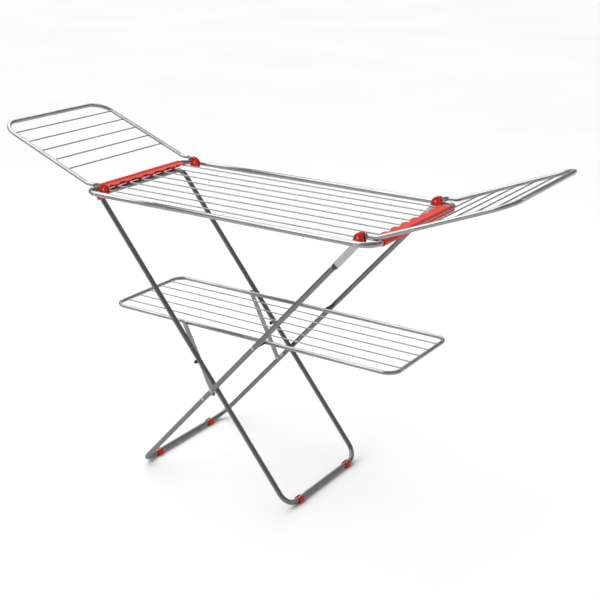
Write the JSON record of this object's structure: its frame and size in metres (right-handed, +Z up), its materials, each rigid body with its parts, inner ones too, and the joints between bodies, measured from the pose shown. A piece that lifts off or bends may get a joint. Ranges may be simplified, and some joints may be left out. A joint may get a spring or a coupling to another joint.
{
  "type": "clothes drying rack",
  "caption": "Free-standing folding clothes drying rack of steel tube with two hinged wings, crossed legs, a lower shelf and red plastic hinge brackets, combs and feet.",
  "frame": {"origin": "on the floor, under the middle of the main rack", "axes": "+X along the rack towards the end carried by the outer legs, +Y away from the viewer across the rack, +Z up"},
  "size_m": [1.8848, 0.5512, 1.1405],
  "materials": {
    "rack_tube": "gloss",
    "wing_tube": "gloss",
    "leg_tube": "gloss",
    "shelf_tube": "gloss",
    "wire": "gloss",
    "strut_steel": "satin",
    "rivet": "polished",
    "red_plastic": "gloss",
    "dark_plastic": "satin"
  },
  "bodies": {
    "outer_leg_pair": {"outer_legs": "leg_tube", "foot_outer_front": "red_plastic", "top_rivet_front": "rivet", "leg_rivet_front": "rivet", "strut_pin_front": "rivet", "shelf_pin_front": "dark_plastic", "foot_outer_back": "red_plastic", "top_rivet_back": "rivet", "leg_rivet_back": "rivet", "strut_pin_back": "rivet", "shelf_pin_back": "dark_plastic"},
    "inner_leg_pair": {"inner_legs": "leg_tube", "foot_inner_front": "red_plastic", "stop_knob_front": "dark_plastic", "foot_inner_back": "red_plastic", "stop_knob_back": "dark_plastic"},
    "rack": {"main_frame": "rack_tube", "rack_wire_1": "wire", "rack_wire_2": "wire", "rack_wire_3": "wire", "rack_wire_4": "wire", "rack_wire_5": "wire", "rack_wire_6": "wire", "rack_wire_7": "wire", "rack_wire_8": "wire", "comb_left": "red_plastic", "comb_right": "red_plastic", "bracket_left_front": "red_plastic", "bracket_left_back": "red_plastic", "bracket_right_front": "red_plastic", "bracket_right_back": "red_plastic", "wing_rivet_left_front": "rivet", "wing_rivet_left_back": "rivet", "wing_rivet_right_front": "rivet", "wing_rivet_right_back": "rivet", "rail_rivet_left_front": "rivet", "rail_rivet_left_back": "rivet", "rail_rivet_right_front": "rivet", "rail_rivet_right_back": "rivet"},
    "left_wing": {"wing_left": "wing_tube", "wing_left_wire_1": "wire", "wing_left_wire_2": "wire", "wing_left_wire_3": "wire", "wing_left_wire_4": "wire", "wing_left_wire_5": "wire"},
    "right_wing": {"wing_right": "wing_tube", "wing_right_wire_1": "wire", "wing_right_wire_2": "wire", "wing_right_wire_3": "wire", "wing_right_wire_4": "wire", "wing_right_wire_5": "wire"},
    "shelf": {"shelf_frame": "shelf_tube", "shelf_wire_1": "wire", "shelf_wire_2": "wire", "shelf_wire_3": "wire", "shelf_wire_4": "wire", "shelf_wire_5": "wire"},
    "front_strut": {"strut_front": "strut_steel"},
    "back_strut": {"strut_back": "strut_steel"}
  },
  "joints": [
    {"name": "fold", "type": "hinge", "parent": "outer_leg_pair", "child": "inner_leg_pair", "pos_m": [-0.0619, 0, 0.36225], "axis": [0, 1, 0], "range_deg": [0, 62]},
    {"name": "rack_turn", "type": "hinge", "parent": "outer_leg_pair", "child": "rack", "pos_m": [0.471, 0, 0.948], "axis": [0, 1, 0], "range_deg": [0, 28.6]},
    {"name": "shelf_turn", "type": "hinge", "parent": "outer_leg_pair", "child": "shelf", "pos_m": [0.10709, 0, 0.548], "axis": [0, -1, 0], "range_deg": [0, 47.7]},
    {"name": "front_strut_turn", "type": "hinge", "parent": "outer_leg_pair", "child": "front_strut", "pos_m": [-0.0967, -0.185, 0.324], "axis": [0, -1, 0], "range_deg": [0, 111.5]},
    {"name": "back_strut_turn", "type": "hinge", "parent": "outer_leg_pair", "child": "back_strut", "pos_m": [-0.0967, 0.185, 0.324], "axis": [0, -1, 0], "range_deg": [0, 111.5]},
    {"name": "left_wing_turn", "type": "hinge", "parent": "rack", "child": "left_wing", "pos_m": [-0.48, 0, 0.97], "axis": [0, 1, 0], "range_deg": [0, 146]},
    {"name": "right_wing_turn", "type": "hinge", "parent": "rack", "child": "right_wing", "pos_m": [0.48, 0, 0.97], "axis": [0, -1, 0], "range_deg": [0, 146]}
  ],
  "couplings": [
    {"joint": "rack_turn", "follows": "fold", "ratio": 0.46},
    {"joint": "front_strut_turn", "follows": "shelf_turn", "ratio": 2.337},
    {"joint": "back_strut_turn", "follows": "shelf_turn", "ratio": 2.337}
  ]
}
